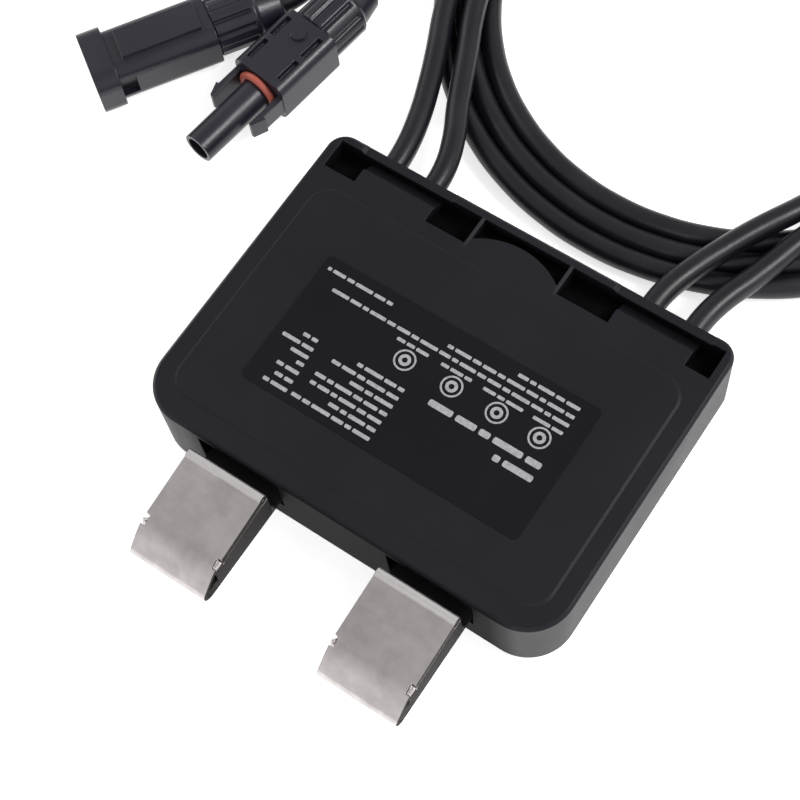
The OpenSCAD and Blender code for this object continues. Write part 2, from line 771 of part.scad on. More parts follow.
// Band round the strands at the back of the coil
module coil_tie() color("#1b1b1d") {
    inner = coil_y + back_r(0) - lead_r;
    outer = coil_y + back_r(rear_strands - 1) + lead_r;
    translate([coil_back_x, 0, 0]) {
        span_box([-tie_w / 2, inner - tie_t, lead_d], [tie_w / 2, outer + tie_t, lead_d + tie_t]);
        for (y = [inner - tie_t, outer]) span_box([-tie_w / 2, y, 0], [tie_w / 2, y + tie_t, lead_d + tie_t]);
    }
}

// Puts a connector on the floor, its tip at the place and its lead end at the angle from +Y
module connector(place) {
    translate([place[0][0], place[0][1], axis_z]) rotate([0, 0, place[1]]) children();
}

// Housing that takes the sleeve and the latch arms of a pin connector
module socket_body(place) color("#3c3a40") connector(place) difference() {
    union() {
        along_y(0, nose_l) corners(nose_w, nose_h, 5, 5);
        along_y(nose_l - eps, socket_body_l) corners(grip_w, grip_h, 4, 4);
        translate([-panel_w / 2, nose_l + panel_inset, grip_h / 2 - eps])
            cube([panel_w, socket_grip_l - 2 * panel_inset, panel_rise + eps]);
        rod_y(socket_body_l - eps, socket_body_l + spigot_l, spigot_r);
    }
    rod_y(-clear, sleeve_l - ring_d, sleeve_r + sleeve_gap);
    rod_y(sleeve_l - ring_d - eps, sleeve_l + contact_seat, contact_r);
    for (side = [-1, 1]) {
        span_box_at(side * arm_x, [arm_t + 2 * arm_gap, arm_l + clear, arm_w + 2 * arm_gap], -clear);
        span_box_at(side * (arm_x + hook_h / 2),
            [arm_t + hook_h + 2 * arm_gap, arm_l - hook_l, arm_w + 2 * arm_gap], hook_l);
    }
}

// Box centred on x and on the axis, from y0 along Y
module span_box_at(x, size, y0) {
    translate([x - size[0] / 2, y0, -size[2] / 2]) cube(size);
}

// Ribbed nut, domed towards the lead
module nut(place, start) color("#3a383e") connector(place) translate([0, start, 0]) difference() {
    rotate([-90, 0, 0]) rotate_extrude() polygon([
        [0, 0], [nut_r - 0.5, 0], [nut_r, 0.5], [nut_r, nut_rib_l], [nut_r - 1, nut_rib_l + 1],
        [nut_end_r + 0.6, nut_l - 0.6], [nut_end_r, nut_l], [0, nut_l]
    ]);
    rod_y(-clear, spigot_l, spigot_r);
    rod_y(nut_l - nut_hole, nut_l + clear, lead_r + lead_gap);
    for (k = [0:nut_grooves - 1]) rotate([0, k * 360 / nut_grooves, 0])
        translate([0, 0, nut_r]) rotate([0, 45, 0])
            translate([-nut_groove, -clear, -nut_groove]) cube([2 * nut_groove, nut_rib_l, 2 * nut_groove]);
}

// Metal pin inside a socket connector
module socket_contact(place) color("#c9c9c4") connector(place) {
    rod_y(sleeve_l - contact_l, sleeve_l + contact_seat, contact_r);
    translate([0, sleeve_l - contact_l, 0]) rotate([90, 0, 0]) cylinder(h = 1, r1 = contact_r, r2 = contact_r / 2);
}

// Housing with the sleeve and two hooked latch arms
module pin_body(place) color("#3c3a40") connector(place) difference() {
    union() {
        rod_y(0, sleeve_l + eps, sleeve_r);
        along_y(sleeve_l, pin_front_l) corners(pin_body_w, pin_body_h, 3, 3);
        rod_y(pin_front_l - eps, pin_front_l + spigot_l, spigot_r);
        for (side = [-1, 1]) scale_side(side) latch_arm();
        translate([0, sleeve_l + pin_body_l - 5, pin_body_h / 2 - eps]) cylinder(h = 0.8, r = 2.2);
    }
    rod_y(-clear, sleeve_l, sleeve_bore_r);
    rod_y(sleeve_l - eps, sleeve_l + contact_seat, contact_r + 0.6);
    for (x = [-1, 1], k = [0, 1])
        span_box_up(x * (pin_body_w / 2 - slot_inset), sleeve_l + 2.5 + k * (slot_l + 2));
}

// Narrow slot in the top of a pin connector's body
module span_box_up(x, y0) {
    translate([x - slot_w / 2, y0, pin_body_h / 2 - slot_depth]) cube([slot_w, slot_l, slot_depth + clear]);
}

// Mirrors its children for the left side
module scale_side(side) {
    if (side < 0) mirror([1, 0, 0]) children();
    else children();
}

// One springy arm along the sleeve, with a hook on its outer side
module latch_arm() {
    x0 = arm_x - arm_t / 2;
    tip = sleeve_l - arm_l;
    translate([0, 0, -arm_w / 2]) linear_extrude(arm_w) polygon([
        [x0, sleeve_l + eps], [x0, tip], [x0 + arm_t - 0.8, tip], [x0 + arm_t + hook_h, tip + hook_l],
        [x0 + arm_t, tip + hook_l], [x0 + arm_t, sleeve_l + eps]
    ]);
}

// Metal tube inside the sleeve
module pin_contact(place) color("#c9c9c4") connector(place) difference() {
    rod_y(sleeve_l - contact_l, sleeve_l + contact_seat, contact_r + 0.6);
    rod_y(sleeve_l - contact_l - clear, sleeve_l - 2, contact_r);
}

// Sealing ring at the sleeve's root
module pin_ring(place) color("#b4564a") connector(place)
    translate([0, sleeve_l - ring_d / 2, 0]) rotate([-90, 0, 0])
        rotate_extrude() translate([sleeve_r + ring_d / 2, 0]) circle(ring_d / 2, $fn = 24);

module socket_1_body() socket_body(socket_1_place);

module socket_1_nut() nut(socket_1_place, socket_body_l);

module socket_1_contact() socket_contact(socket_1_place);

module pin_2_body() pin_body(pin_2_place);

module pin_2_nut() nut(pin_2_place, pin_front_l);

module pin_2_contact() pin_contact(pin_2_place);

module pin_2_ring() pin_ring(pin_2_place);

module socket_3_body() socket_body(socket_3_place);

module socket_3_nut() nut(socket_3_place, socket_body_l);

module socket_3_contact() socket_contact(socket_3_place);

module pin_4_body() pin_body(pin_4_place);

module pin_4_nut() nut(pin_4_place, pin_front_l);

module pin_4_contact() pin_contact(pin_4_place);

module pin_4_ring() pin_ring(pin_4_place);

case_shell();
back_plate();
plate_gasket();
plate_screws();
circuit_board();
inductor_core();
inductor_winding();
filter_choke();
input_capacitors();
output_capacitors();
power_transistors();
bypass_diode();
controller_chip();
signal_transformer();
thermal_pad();
lead_terminals();
left_frame_clip();
right_frame_clip();
lead_seal_1();
lead_seal_2();
lead_seal_3();
lead_seal_4();
lead_1();
lead_2();
lead_3_start();
lead_3_end();
lead_4_start();
lead_4_end();
lead_coil();
coil_tie();
socket_1_body();
socket_1_nut();
socket_1_contact();
pin_2_body();
pin_2_nut();
pin_2_contact();
pin_2_ring();
socket_3_body();
socket_3_nut();
socket_3_contact();
pin_4_body();
pin_4_nut();
pin_4_contact();
pin_4_ring();
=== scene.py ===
"""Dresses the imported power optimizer: camera, light, leads, case, clips, label and connectors."""

import logging
import math
from dataclasses import dataclass
from enum import Enum
from typing import Sequence, Union

import bmesh
import bpy
from bmesh.types import BMEdge, BMesh, BMVert
from bpy.types import Material, Object
from mathutils import Matrix, Vector


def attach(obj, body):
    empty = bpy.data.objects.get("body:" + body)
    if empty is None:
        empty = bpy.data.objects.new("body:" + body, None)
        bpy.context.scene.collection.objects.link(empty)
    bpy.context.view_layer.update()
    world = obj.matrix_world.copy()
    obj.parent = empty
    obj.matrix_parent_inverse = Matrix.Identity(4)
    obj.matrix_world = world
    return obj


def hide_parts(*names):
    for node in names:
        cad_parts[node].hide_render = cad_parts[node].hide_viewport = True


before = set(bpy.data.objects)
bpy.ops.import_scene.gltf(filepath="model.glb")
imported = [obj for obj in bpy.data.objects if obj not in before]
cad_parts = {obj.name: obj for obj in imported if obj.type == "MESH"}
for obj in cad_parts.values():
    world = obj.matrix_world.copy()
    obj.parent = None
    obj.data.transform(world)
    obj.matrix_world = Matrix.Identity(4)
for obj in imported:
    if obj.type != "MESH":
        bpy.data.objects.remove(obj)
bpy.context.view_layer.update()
LOG = logging.getLogger("optimizer")
MM = 0.001
Number = Union[float, "Sock"]
Colour = tuple[float, float, float]
Point = tuple[float, float, float]
Pair = tuple[float, float]
X, Y, Z = range(3)


def node_box(node: str, digits: int = 3) -> tuple[Point, Point]:
    """Measures a CAD node.

    Args:
        node: the CAD node.
        digits: the decimals that are kept.

    Returns:
        Its lowest and its highest corner, in millimetres.
    """
    sides = list(zip(*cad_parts[node].bound_box))
    low = tuple(round(min(side) / MM, digits) for side in sides)
    high = tuple(round(max(side) / MM, digits) for side in sides)
    return low, high


def near(edge: float, zero: float, one: float) -> Pair:
    """A mask's limits, in millimetres from an edge of the CAD."""
    return (edge + zero, edge + one)


CASE_LOW, CASE_HIGH = node_box("case_shell")
CLIP_LOW, CLIP_HIGH = node_box("right_frame_clip")
COIL_LOW, COIL_HIGH = node_box("lead_coil")


class Sock:
    """A shader socket that takes part in Python expressions."""

    def __init__(self, graph: "Graph", out: bpy.types.NodeSocket) -> None:
        """Keeps the socket and the graph that owns it."""
        self.graph = graph
        self.out = out

    def _math(self, operation: str, a: Number, b: Number = 0.0) -> "Sock":
        """Adds one Math node."""
        return self.graph.node("ShaderNodeMath", {"operation": operation}, {0: a, 1: b})

    def __add__(self, other: Number) -> "Sock":
        """self + other."""
        return self._math("ADD", self, other)

    def __radd__(self, other: Number) -> "Sock":
        """other + self."""
        return self._math("ADD", other, self)

    def __sub__(self, other: Number) -> "Sock":
        """self - other."""
        return self._math("SUBTRACT", self, other)

    def __rsub__(self, other: Number) -> "Sock":
        """other - self."""
        return self._math("SUBTRACT", other, self)

    def __mul__(self, other: Number) -> "Sock":
        """self * other."""
        return self._math("MULTIPLY", self, other)

    def __rmul__(self, other: Number) -> "Sock":
        """other * self."""
        return self._math("MULTIPLY", other, self)

    def __abs__(self) -> "Sock":
        """self without its sign."""
        return self._math("ABSOLUTE", self)

    def __gt__(self, other: Number) -> "Sock":
        """1 where self is over other, or else 0."""
        return self._math("GREATER_THAN", self, other)

    def __lt__(self, other: Number) -> "Sock":
        """1 where self is under other, or else 0."""
        return self._math("LESS_THAN", self, other)


class Graph:
    """Node tree of one material, or of the world."""

    NOISE_MEAN = 0.5
    # Numbers of the colour mix node's sockets
    MIX_A = 6
    MIX_B = 7
    MIX_RESULT = 2

    def __init__(self, name: str, world: bool = False) -> None:
        """Makes a material or a world with an empty tree.

        Args:
            name: its name.
            world: whether it is a world.
        """
        self.material = (bpy.data.worlds if world else bpy.data.materials).new(name)
        self.material.use_nodes = True
        self.tree = self.material.node_tree
        self.tree.nodes.clear()
        kind = "ShaderNodeOutputWorld" if world else "ShaderNodeOutputMaterial"
        self.end = self.tree.nodes.new(kind)

    def node(
        self,
        kind: str,
        settings: dict | None = None,
        inputs: dict | None = None,
        out: int | str = 0,
    ) -> Sock:
        """Adds one node.

        Args:
            kind: the node's type.
            settings: its properties.
            inputs: values or sockets by input name or number.
            out: the output that is returned.

        Returns:
            The chosen output.
        """
        made = self.tree.nodes.new(kind)
        for key, value in (settings or {}).items():
            setattr(made, key, value)
        for key, value in (inputs or {}).items():
            if isinstance(value, Sock):
                self.tree.links.new(value.out, made.inputs[key])
            else:
                made.inputs[key].default_value = value
        return Sock(self, made.outputs[out])

    def place(self) -> Sock:
        """Object coordinates, in metres."""
        return self.node("ShaderNodeTexCoord", out="Object")

    def axis(self, letter: str) -> Sock:
        """One of the object coordinates: X, Y or Z."""
        return self.node("ShaderNodeSeparateXYZ", inputs={0: self.place()}, out=letter)

    def noise(self, size: float, detail: float) -> Sock:
        """Noise whose features are about size metres across."""
        inputs = {"Vector": self.place(), "Scale": 1 / size, "Detail": detail}
        return self.node("ShaderNodeTexNoise", inputs=inputs)

    def swing(self, noise: Sock, width: float) -> Sock:
        """A noise moved to swing about zero, over the given width."""
        return width * (noise - self.NOISE_MEAN)

    def ramp(self, value: Sock, low: float, high: float) -> Sock:
        """Spreads a value.

        Args:
            value: the value.
            low: what becomes 0.
            high: what becomes 1.

        Returns:
            The spread value.
        """
        spread = self.node("ShaderNodeValToRGB", inputs={"Fac": value})
        first, last = spread.out.node.color_ramp.elements
        first.position = low
        last.position = high
        return spread

    def step(self, value: Sock, limits: Pair) -> Sock:
        """Turns a length into a mask.

        Args:
            value: the length in metres.
            limits: where the mask is 0 and where it is 1, in millimetres; it is even between them.

        Returns:
            The mask.
        """
        zero, one = limits
        inputs = {"Value": value, "From Min": zero * MM, "From Max": one * MM}
        return self.node("ShaderNodeMapRange", inputs=inputs, out="Result")

    def most(self, a: Number, b: Number) -> Sock:
        """The greater of two values."""
        return self.node("ShaderNodeMath", {"operation": "MAXIMUM"}, {0: a, 1: b})

    def blend(self, mask: Sock, a: Union[Colour, Sock], b: Colour) -> Sock:
        """Colour a where mask is 0 and colour b where it is 1."""
        first = a if isinstance(a, Sock) else (*a, 1.0)
        inputs = {"Factor": mask, self.MIX_A: first, self.MIX_B: (*b, 1.0)}
        return self.node("ShaderNodeMix", {"data_type": "RGBA"}, inputs, self.MIX_RESULT)

    def bump(self, height: Sock, distance: float, strength: float) -> Sock:
        """Normals from a height."""
        inputs = {"Height": height, "Distance": distance, "Strength": strength}
        return self.node("ShaderNodeBump", inputs=inputs, out="Normal")

    def shader(self, **sockets: Union[Number, tuple]) -> Sock:
        """One shader; underscores in the names of its sockets stand for spaces."""
        inputs = {name.replace("_", " "): value for name, value in sockets.items()}
        return self.node("ShaderNodeBsdfPrincipled", inputs=inputs)

    def mixed(self, mask: Sock, a: Sock, b: Sock) -> Sock:
        """Shader a where mask is 0 and shader b where it is 1."""
        return self.node("ShaderNodeMixShader", inputs={0: mask, 1: a, 2: b})

    def finish(self, shader: Sock) -> bpy.types.ID:
        """Links a shader to the tree's output and gives back the material or world."""
        self.tree.links.new(shader.out, self.end.inputs["Surface"])
        return self.material


@dataclass(frozen=True)
class Moulding:
    """Moulded plastic with a fine eroded grain and faint clouding."""

    name: str
    colour: Colour
    cloud: Colour
    roughness: float
    grain: float = 0.00035
    relief: float = 0.00004
    specular: float = 0.35
    cloud_size: float = 0.03
    cloud_range: Pair = (0.35, 0.7)
    cloud_rough: float = 0.16
    grain_rough: float = 0.1
    grain_bump: float = 0.6

    def material(self) -> Material:
        """Builds the finish.

        Returns:
            The finished material.
        """
        g = Graph(self.name)
        grain = g.noise(self.grain, detail=2)
        clouds = g.noise(self.cloud_size, detail=4)
        colour = g.blend(g.ramp(clouds, *self.cloud_range), self.colour, self.cloud)
        rough = self.roughness + g.swing(clouds, self.cloud_rough) + g.swing(grain, self.grain_rough)
        plain = g.shader(
            Base_Color=self.with_painted_highlight(g, colour),
            Roughness=rough,
            Specular_IOR_Level=self.specular,
            Normal=g.bump(grain, self.relief, self.grain_bump),
        )
        return g.finish(self.with_painted_shade(g, plain, clouds, grain))

    def with_painted_highlight(self, g: Graph, colour: Sock) -> Sock:
        """The colour with its painted highlights, of which plain mouldings have none."""
        return colour

    def with_painted_shade(self, g: Graph, plain: Sock, clouds: Sock, grain: Sock) -> Sock:
        """The shader with its painted shade, of which plain mouldings have none."""
        return plain


@dataclass(frozen=True)
class CaseMoulding(Moulding):
    """The case's plastic, with a painted highlight on the ribs and painted shade in the rear pockets and
    on the front wall.

    The limits are in millimetres: where a mask is 0, and where it is 1.
    """

    # Painted highlight on the rib tops
    rib_highlight_colour: Colour = (0.024, 0.0235, 0.0275)
    rib_inner: Pair = (12.1, 12.5)
    rib_outer: Pair = (13.3, 12.9)
    rib_front: Pair = (31.5, 33.5)
    rib_rear: Pair = near(CASE_HIGH[Y], -2, -3)
    rib_top: Pair = near(CASE_HIGH[Z], -1.1, -0.7)
    # Painted shade: a near-black, dull shader that darkens the rear pockets and the front wall
    painted_shade_colour: Colour = (0.004, 0.0038, 0.0046)
    painted_shade_cloud: Colour = (0.0055, 0.0052, 0.006)
    painted_shade_roughness: float = 0.8
    painted_shade_specular: float = 0.03
    pocket_front: float = 30.2
    pocket_rear: float = CASE_HIGH[Y] - 2.2
    pocket_side: Pair = near(CASE_HIGH[X], -0.8, -1.4)
    pocket_top: Pair = near(CASE_HIGH[Z], -0.8, -3.6)
    # How much of the painted shade falls on the front wall
    wall_shade_share: float = 0.78
    wall_left: Pair = (-44, -36)
    wall_right: Pair = (53, 43)
    wall_front: Pair = near(CASE_LOW[Y], 1, 0.1)

    def with_painted_highlight(self, g: Graph, colour: Sock) -> Sock:
        """Paints a highlight onto the tops of the two ribs beside the centre bay.

        Args:
            g: the material's graph.
            colour: the colour elsewhere.

        Returns:
            The colour with its painted highlight.
        """
        across = abs(g.axis("X"))
        y = g.axis("Y")
        width = g.step(across, self.rib_inner) * g.step(across, self.rib_outer)
        length = g.step(y, self.rib_front) * g.step(y, self.rib_rear)
        ribs = width * length * g.step(g.axis("Z"), self.rib_top)
        # Paints the highlight onto the rib tops
        return g.blend(ribs, colour, self.rib_highlight_colour)

    def with_painted_shade(self, g: Graph, plain: Sock, clouds: Sock, grain: Sock) -> Sock:
        """Paints shade into the rear pockets, and partly onto the front wall.

        Args:
            g: the material's graph.
            plain: the shader elsewhere.
            clouds: the clouding's noise.
            grain: the grain's noise.

        Returns:
            The shader with its painted shade.
        """
        x = g.axis("X")
        y = g.axis("Y")
        between = (y > self.pocket_front * MM) * (y < self.pocket_rear * MM)
        inside = g.step(abs(x), self.pocket_side) * g.step(g.axis("Z"), self.pocket_top)
        wall = g.step(x, self.wall_left) * g.step(x, self.wall_right) * g.step(y, self.wall_front)
        # The painted shade
        dull = g.shader(
            Base_Color=g.blend(clouds, self.painted_shade_colour, self.painted_shade_cloud),
            Roughness=self.painted_shade_roughness + g.swing(grain, self.grain_rough),
            Specular_IOR_Level=self.painted_shade_specular,
        )
        # Mixes the painted shade into the pockets and onto the front wall
        return g.mixed(g.most(between * inside, self.wall_shade_share * wall), plain, dull)


@dataclass(frozen=True)
class Jacket:
    """Cable jacket: smooth and satin, with faint patches of dust."""

    name: str
    colour: Colour
    dust: Colour
    roughness: float
    fine_size: float = 0.0008
    patch_size: float = 0.014
    dust_range: Pair = (0.45, 0.8)
    patch_rough: float = 0.18
    fine_rough: float = 0.08
    specular: float = 0.42
    relief: float = 0.00003
    fine_bump: float = 0.5

    def material(self) -> Material:
        """Builds the finish.

        Returns:
            The finished material.
        """
        g = Graph(self.name)
        fine = g.noise(self.fine_size, detail=3)
        patch = g.noise(self.patch_size, detail=4)
        shader = g.shader(
            Base_Color=g.blend(g.ramp(patch, *self.dust_range), self.colour, self.dust),
            Roughness=self.roughness + g.swing(patch, self.patch_rough) + g.swing(fine, self.fine_rough),
            Specular_IOR_Level=self.specular,
            Normal=g.bump(fine, self.relief, self.fine_bump),
        )
        return g.finish(shader)


@dataclass(frozen=True)
class Sheet:
    """Rolled metal sheet with dull blotches and fine drawn lines along X."""

    name: str
    colour: Colour
    stain: Colour
    roughness: float
    lines: float = 0.35
    line_scale: Point = (60, 1600, 1600)
    blotch_size: float = 0.0032
    patch_size: float = 0.011
    blotch_share: float = 0.55
    stain_range: Pair = (0.38, 0.62)
    blotch_rough: float = 0.2
    line_rough: float = 0.3
    line_share: float = 0.6
    relief: float = 0.00002

    def material(self) -> Material:
        """Builds the finish.

        Returns:
            The finished material.
        """
        g = Graph(self.name)
        inputs = {"Vector": g.place(), "Scale": self.line_scale}
        drawn = g.node("ShaderNodeMapping", inputs=inputs, out="Vector")
        lines = g.node("ShaderNodeTexNoise", inputs={"Vector": drawn, "Scale": 1.0, "Detail": 2.0})
        blotch = g.noise(self.blotch_size, detail=6)
        patch = g.noise(self.patch_size, detail=3)
        mottle = self.blotch_share * blotch + (1 - self.blotch_share) * patch
        colour = g.blend(g.ramp(mottle, *self.stain_range), self.colour, self.stain)
        spread = self.lines * self.line_rough
        height = self.line_share * lines + (1 - self.line_share) * blotch
        normal = g.bump(height, self.relief, self.lines)
        bright = g.shader(
            Base_Color=self.with_painted_highlight(g, colour),
            Roughness=self.roughness + g.swing(blotch, self.blotch_rough) + g.swing(lines, spread),
            Metallic=1.0,
            Normal=normal,
        )
        return g.finish(self.with_painted_sheet_shade(g, bright, blotch, normal))

    def with_painted_highlight(self, g: Graph, colour: Sock) -> Sock:
        """The colour with its painted highlights, of which plain sheets have none."""
        return colour

    def with_painted_sheet_shade(self, g: Graph, bright: Sock, blotch: Sock, normal: Sock) -> Sock:
        """The shader with its painted shade, of which plain sheets have none."""
        return bright


@dataclass(frozen=True)
class ClipSteel(Sheet):
    """The clips' steel, with a painted highlight on the lip and painted shade on the sides and inside.

    The limits are in millimetres: where a mask is 0, and where it is 1.
    """

    lip: Pair = (-49.2, -48.7)
    # Painted highlight on the rolled lip
    lip_highlight_colour: Colour = (0.8, 0.77, 0.77)
    # Painted shade on the outer sides, on the inside and in the case's slots
    clip_shade_colour: Colour = (0.012, 0.0105, 0.0105)
    clip_shade_blotch: Colour = (0.03, 0.027, 0.026)
    clip_shade_roughness: float = 0.62
    clip_shade_specular: float = 0.12
    outer_side: Pair = near(CLIP_HIGH[X], -0.12, -0.07)
    inner_side: Pair = near(CLIP_LOW[X], 0.12, 0.07)
    tooth_z: Pair = (17.8, 18.2)
    tooth_rear: Pair = (-64.7, -65.1)
    tooth_front: Pair = (-67.7, -67.3)
    slot_y: Pair = (-47.2, -45.5)
    slot_z: Pair = (17.2, 16.5)
    ramp_under: Pair = (85.8, 85.74)
    leaf_under: Pair = (27.54, 27.48)
    leaf_rise: float = 0.1405
    outer_wall: Pair = near(CLIP_HIGH[X], -1, -1.1)
    inner_wall: Pair = near(CLIP_LOW[X], 1, 1.1)
    floor_z: Pair = (9.8, 10.1)
    fold_y: Pair = (-71.2, -70.8)

    def with_painted_highlight(self, g: Graph, colour: Sock) -> Sock:
        """Paints a highlight onto the lip."""
        # Paints the highlight onto the lip
        return g.blend(g.step(g.axis("Y"), self.lip), colour, self.lip_highlight_colour)

    def with_painted_sheet_shade(self, g: Graph, bright: Sock, blotch: Sock, normal: Sock) -> Sock:
        """Paints shade on the outer sides, on the inside and in the case's slots.

        Args:
            g: the material's graph.
            bright: the shader elsewhere.
            blotch: the blotches' noise.
            normal: the sheet's normals.

        Returns:
            The shader with its painted shade.
        """
        across = abs(g.axis("X"))
        y = g.axis("Y")
        z = g.axis("Z")
        sides = g.most(g.step(across, self.outer_side), g.step(across, self.inner_side))
        teeth = g.step(z, self.tooth_z) * g.step(y, self.tooth_rear) * g.step(y, self.tooth_front)
        slots = g.step(y, self.slot_y) * g.step(z, self.slot_z)
        under = g.step(z - y, self.ramp_under) * g.step(z - self.leaf_rise * y, self.leaf_under)
        between = g.step(across, self.outer_wall) * g.step(across, self.inner_wall)
        inside = under * between * g.step(z, self.floor_z) * g.step(y, self.fold_y)
        # The painted shade: a dark, rough shader
        scale = g.shader(
            Base_Color=g.blend(blotch, self.clip_shade_colour, self.clip_shade_blotch),
            Roughness=self.clip_shade_roughness + g.swing(blotch, self.blotch_rough),
            Specular_IOR_Level=self.clip_shade_specular,
            Normal=normal,
        )
        # Mixes the painted shade onto the sides (except at the teeth), the inside and the slots
        return g.mixed(g.most(g.most(sides * (1.0 - teeth), inside), slots), bright, scale)


@dataclass(frozen=True)
class Ink:
    """Thin printed ink with faint wear."""

    name: str
    colour: Colour
    faded: Colour
    roughness: float = 0.45
    wear_size: float = 0.0009
    wear_range: Pair = (0.4, 0.75)
    wear_rough: float = 0.2

    def material(self) -> Material:
        """Builds the finish.

        Returns:
            The finished material.
        """
        g = Graph(self.name)
        wear = g.noise(self.wear_size, detail=4)
        shader = g.shader(
            Base_Color=g.blend(g.ramp(wear, *self.wear_range), self.colour, self.faded),
            Roughness=self.roughness + g.swing(wear, self.wear_rough),
        )
        return g.finish(shader)


class Finish(Enum):
    """The finishes, each with the record's slot that it stands for."""

    CASE = (
        "case_plastic",
        CaseMoulding(
            "case_moulding", (0.0056, 0.0052, 0.0094), (0.0078, 0.0072, 0.0118), 0.46, specular=0.28
        ),
    )
    CONNECTOR = (
        "connector_plastic",
        Moulding(
            "connector_moulding", (0.0125, 0.0112, 0.019), (0.02, 0.018, 0.0285), 0.31,
            grain=0.0005, relief=0.00003, specular=0.5,
        ),
    )
    LABEL = (
        "case_plastic",
        Moulding(
            "label_film", (0.0018, 0.0015, 0.0038), (0.0027, 0.0024, 0.005), 0.4,
            grain=0.0009, relief=0.00001, specular=0.25,
        ),
    )
    PRINT = ("case_plastic", Ink("label_print", (0.42, 0.42, 0.43), (0.27, 0.27, 0.29)))
    JACKET = (
        "lead_jacket",
        Jacket("lead_jacket_satin", (0.006, 0.0056, 0.0094), (0.0108, 0.0104, 0.0148), 0.37),
    )
    RUBBER = ("gasket_rubber", Jacket("seal_rubber", (0.014, 0.014, 0.014), (0.024, 0.024, 0.024), 0.6))
    RING = ("ring_rubber", Jacket("ring_silicone", (0.44, 0.1, 0.07), (0.5, 0.14, 0.1), 0.42))
    TIE = ("tie_plastic", Moulding("tie_nylon", (0.012, 0.012, 0.013), (0.018, 0.018, 0.019), 0.4))
    CLIP = ("clip_steel", ClipSteel("clip_spring_steel", (0.64, 0.6, 0.595), (0.49, 0.455, 0.45), 0.38))
    PLATE = (
        "plate_metal",
        Sheet("plate_aluminium", (0.56, 0.57, 0.58), (0.46, 0.47, 0.48), 0.4, lines=0.6),
    )
    SCREW = ("screw_steel", Sheet("screw_plated", (0.58, 0.58, 0.59), (0.46, 0.46, 0.46), 0.3, lines=0.2))
    CONTACT = (
        "contact_metal",
        Sheet("contact_tinned", (0.66, 0.66, 0.63), (0.54, 0.54, 0.5), 0.28, lines=0.2),
    )
    COPPER = ("copper", Sheet("winding_copper", (0.62, 0.28, 0.13), (0.48, 0.2, 0.09), 0.34, lines=0.8))
    BOARD = ("board_laminate", Moulding("board_lacquer", (0.012, 0.075, 0.03), (0.018, 0.1, 0.042), 0.3))
    FERRITE = ("ferrite", Moulding("ferrite_grey", (0.035, 0.036, 0.04), (0.05, 0.05, 0.054), 0.6))
    CAPACITOR = (
        "capacitor_plastic",
        Moulding("capacitor_box", (0.5, 0.47, 0.4), (0.56, 0.53, 0.46), 0.5),
    )
    CHIP = ("chip_plastic", Moulding("chip_epoxy", (0.013, 0.013, 0.014), (0.02, 0.02, 0.021), 0.55))
    PAD = ("pad_silicone", Jacket("pad_silicone_blue", (0.2, 0.26, 0.34), (0.26, 0.32, 0.4), 0.7))

    @property
    def slot(self) -> str:
        """The record's material slot."""
        return self.value[0]

    def material(self) -> Material:
        """The finish's material, made once."""
        found = bpy.data.materials.get(self.value[1].name)
        return found or self.value[1].material()


def put_in(name: str, data: bpy.types.ID) -> Object:
    """Makes an object and links it to the scene.

    Args:
        name: the object's name.
        data: its mesh, curve, camera or lamp.

    Returns:
        The new object.
    """
    made = bpy.data.objects.new(name, data)
    bpy.context.scene.collection.objects.link(made)
    return made


def dress(piece: Object, finish: Finish) -> Object:
    """Gives an object its material.

    Args:
        piece: the object.
        finish: what it is made of.

    Returns:
        The object.
    """
    piece.data.materials.clear()
    piece.data.materials.append(finish.material())
    LOG.info("%s: %s", piece.name, finish.name.lower())
    return piece


def dress_node(node: str, finish: Finish) -> Object:
    """Gives a CAD node its finish and gives back its object."""
    return dress(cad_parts[node], finish)


def add_piece(name: str, data: bpy.types.ID, finish: Finish, nodes: Sequence[str] = ()) -> Object:
    """Puts a piece into the scene.

    Args:
        name: the piece's name.
        data: its mesh or curve.
        finish: what it is made of.
        nodes: the CAD nodes that it stands for.

    Returns:
        The new object, riding on the root body.
    """
    piece = put_in(name, data)
    if isinstance(data, bpy.types.Mesh):
        even = piece.modifiers.new("even_shading", "WEIGHTED_NORMAL")
        even.keep_sharp = True
    # Blender measures a curve right only if its material comes before attach()
    dress(piece, finish)
    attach(piece, "root")
    if nodes:
        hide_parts(*nodes)
    return piece


def mesh_from(bm: BMesh, name: str, smooth_below: float = 32) -> bpy.types.Mesh:
    """Turns a bmesh into a mesh, shaded smooth except at edges sharper than an angle.

    Args:
        bm: the shape, which is freed.
        name: the mesh's name.
        smooth_below: the angle in degrees.

    Returns:
        The mesh.
    """
    mesh = bpy.data.meshes.new(name)
    for face in bm.faces:
        face.smooth = True
    bm.to_mesh(mesh)
    bm.free()
    mesh.set_sharp_from_angle(angle=math.radians(smooth_below))
    return mesh


def in_metres(bm: BMesh) -> None:
    """Turns a closed shape's faces outwards and takes it from millimetres to metres."""
    bmesh.ops.recalc_face_normals(bm, faces=bm.faces)
    bmesh.ops.scale(bm, verts=bm.verts, vec=(MM, MM, MM))


